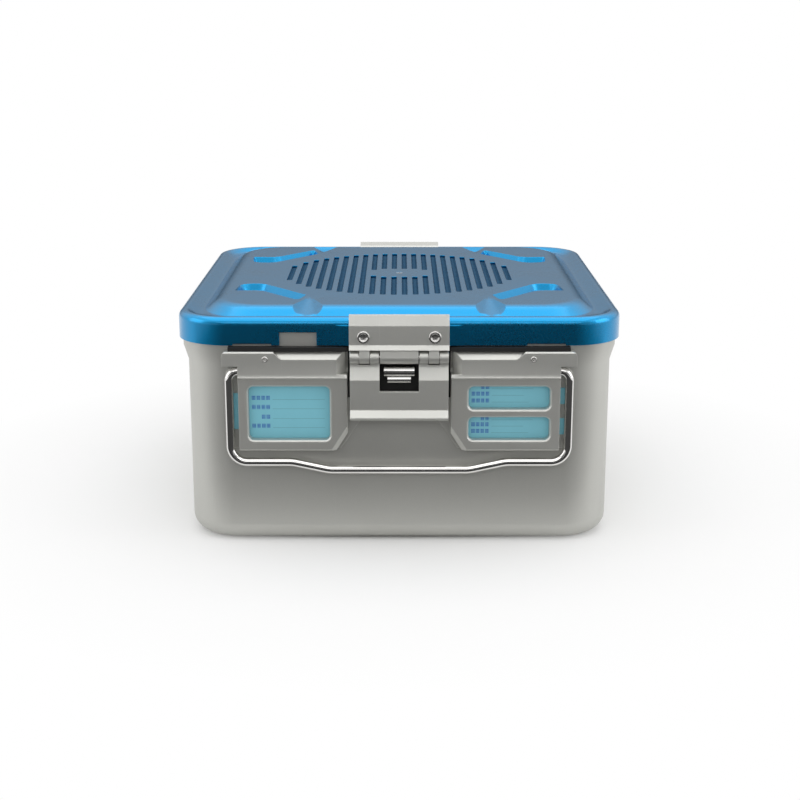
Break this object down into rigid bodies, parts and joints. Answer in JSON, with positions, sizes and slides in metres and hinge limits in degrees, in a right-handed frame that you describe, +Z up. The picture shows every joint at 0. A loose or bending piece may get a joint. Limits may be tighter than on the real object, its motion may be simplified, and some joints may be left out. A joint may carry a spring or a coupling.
{
  "type": "sterilization container",
  "caption": "Half-size rigid sterilization container: drawn aluminium tub, blue vented lid, hinged latches, wire handles and framed label windows.",
  "frame": {"origin": "middle of the base, on the surface that it stands on", "axes": "+Z up, -Y towards the front with the wide label window on the left, +X to the right"},
  "size_m": [0.28, 0.307, 0.1503],
  "materials": {
    "tub_aluminium": "fine satin anodised, natural silver",
    "lid_aluminium": "satin anodised, blue",
    "gasket_silicone": "matte",
    "plate_aluminium": "bead-blasted anodised, natural silver",
    "holder_aluminium": "bead-blasted anodised, natural silver",
    "plain_aluminium": "satin",
    "stainless_steel": "fine turned",
    "polished_steel": "polished stainless",
    "black_plastic": "matte",
    "label_card": "printed card, light blue",
    "filter_fleece": "pressed fleece, dark blue"
  },
  "bodies": {
    "tub": {"tub_shell": "tub_aluminium", "front_side_plate": "plate_aluminium", "front_label_holder_left": "holder_aluminium", "front_label_holder_right": "holder_aluminium", "front_plate_rivets": "stainless_steel", "front_catch_housing": "black_plastic", "front_catch_spring": "polished_steel", "back_side_plate": "plate_aluminium", "back_label_holder_left": "holder_aluminium", "back_label_holder_right": "holder_aluminium", "back_plate_rivets": "stainless_steel", "back_catch_housing": "black_plastic", "back_catch_spring": "polished_steel"},
    "lid": {"lid_shell": "lid_aluminium", "lid_gasket": "gasket_silicone", "filter_post": "stainless_steel", "front_latch_bracket": "plate_aluminium", "front_bracket_rivets": "stainless_steel", "front_hinge_pin": "stainless_steel", "back_latch_bracket": "plate_aluminium", "back_bracket_rivets": "stainless_steel", "back_hinge_pin": "stainless_steel"},
    "retainer": {"filter_retainer": "plain_aluminium", "filter_sheet": "filter_fleece"},
    "latch_front": {"front_latch_flap": "plate_aluminium"},
    "handle_front": {"front_wire_handle": "polished_steel"},
    "card_front_left": {"front_label_card_left": "label_card"},
    "card_front_right_lower": {"front_label_card_right_lower": "label_card"},
    "card_front_right_upper": {"front_label_card_right_upper": "label_card"},
    "latch_back": {"back_latch_flap": "plate_aluminium"},
    "handle_back": {"back_wire_handle": "polished_steel"},
    "card_back_left": {"back_label_card_left": "label_card"},
    "card_back_right_lower": {"back_label_card_right_lower": "label_card"},
    "card_back_right_upper": {"back_label_card_right_upper": "label_card"}
  },
  "joints": [
    {"name": "lid_lift", "type": "slide", "parent": "tub", "child": "lid", "axis": [0, 0, 1], "range_m": [0, 0.12]},
    {"name": "retainer_drop", "type": "slide", "parent": "lid", "child": "retainer", "axis": [0, 0, -1], "range_m": [0, 0.02]},
    {"name": "latch_front_swing", "type": "hinge", "parent": "lid", "child": "latch_front", "pos_m": [0, -0.1462, 0.1231], "axis": [-1, 0, 0], "range_deg": [0, 100]},
    {"name": "handle_front_swing", "type": "hinge", "parent": "tub", "child": "handle_front", "pos_m": [0, -0.14285, 0.1137], "axis": [-1, 0, 0], "range_deg": [0, 95]},
    {"name": "card_front_left_slide", "type": "slide", "parent": "tub", "child": "card_front_left", "axis": [-1, 0, 0], "range_m": [0, 0.062]},
    {"name": "card_front_right_lower_slide", "type": "slide", "parent": "tub", "child": "card_front_right_lower", "axis": [1, 0, 0], "range_m": [0, 0.062]},
    {"name": "card_front_right_upper_slide", "type": "slide", "parent": "tub", "child": "card_front_right_upper", "axis": [1, 0, 0], "range_m": [0, 0.062]},
    {"name": "latch_back_swing", "type": "hinge", "parent": "lid", "child": "latch_back", "pos_m": [0, 0.1462, 0.1231], "axis": [1, 0, 0], "range_deg": [0, 100]},
    {"name": "handle_back_swing", "type": "hinge", "parent": "tub", "child": "handle_back", "pos_m": [0, 0.14285, 0.1137], "axis": [1, 0, 0], "range_deg": [0, 95]},
    {"name": "card_back_left_slide", "type": "slide", "parent": "tub", "child": "card_back_left", "axis": [1, 0, 0], "range_m": [0, 0.062]},
    {"name": "card_back_right_lower_slide", "type": "slide", "parent": "tub", "child": "card_back_right_lower", "axis": [-1, 0, 0], "range_m": [0, 0.062]},
    {"name": "card_back_right_upper_slide", "type": "slide", "parent": "tub", "child": "card_back_right_upper", "axis": [-1, 0, 0], "range_m": [0, 0.062]}
  ]
}
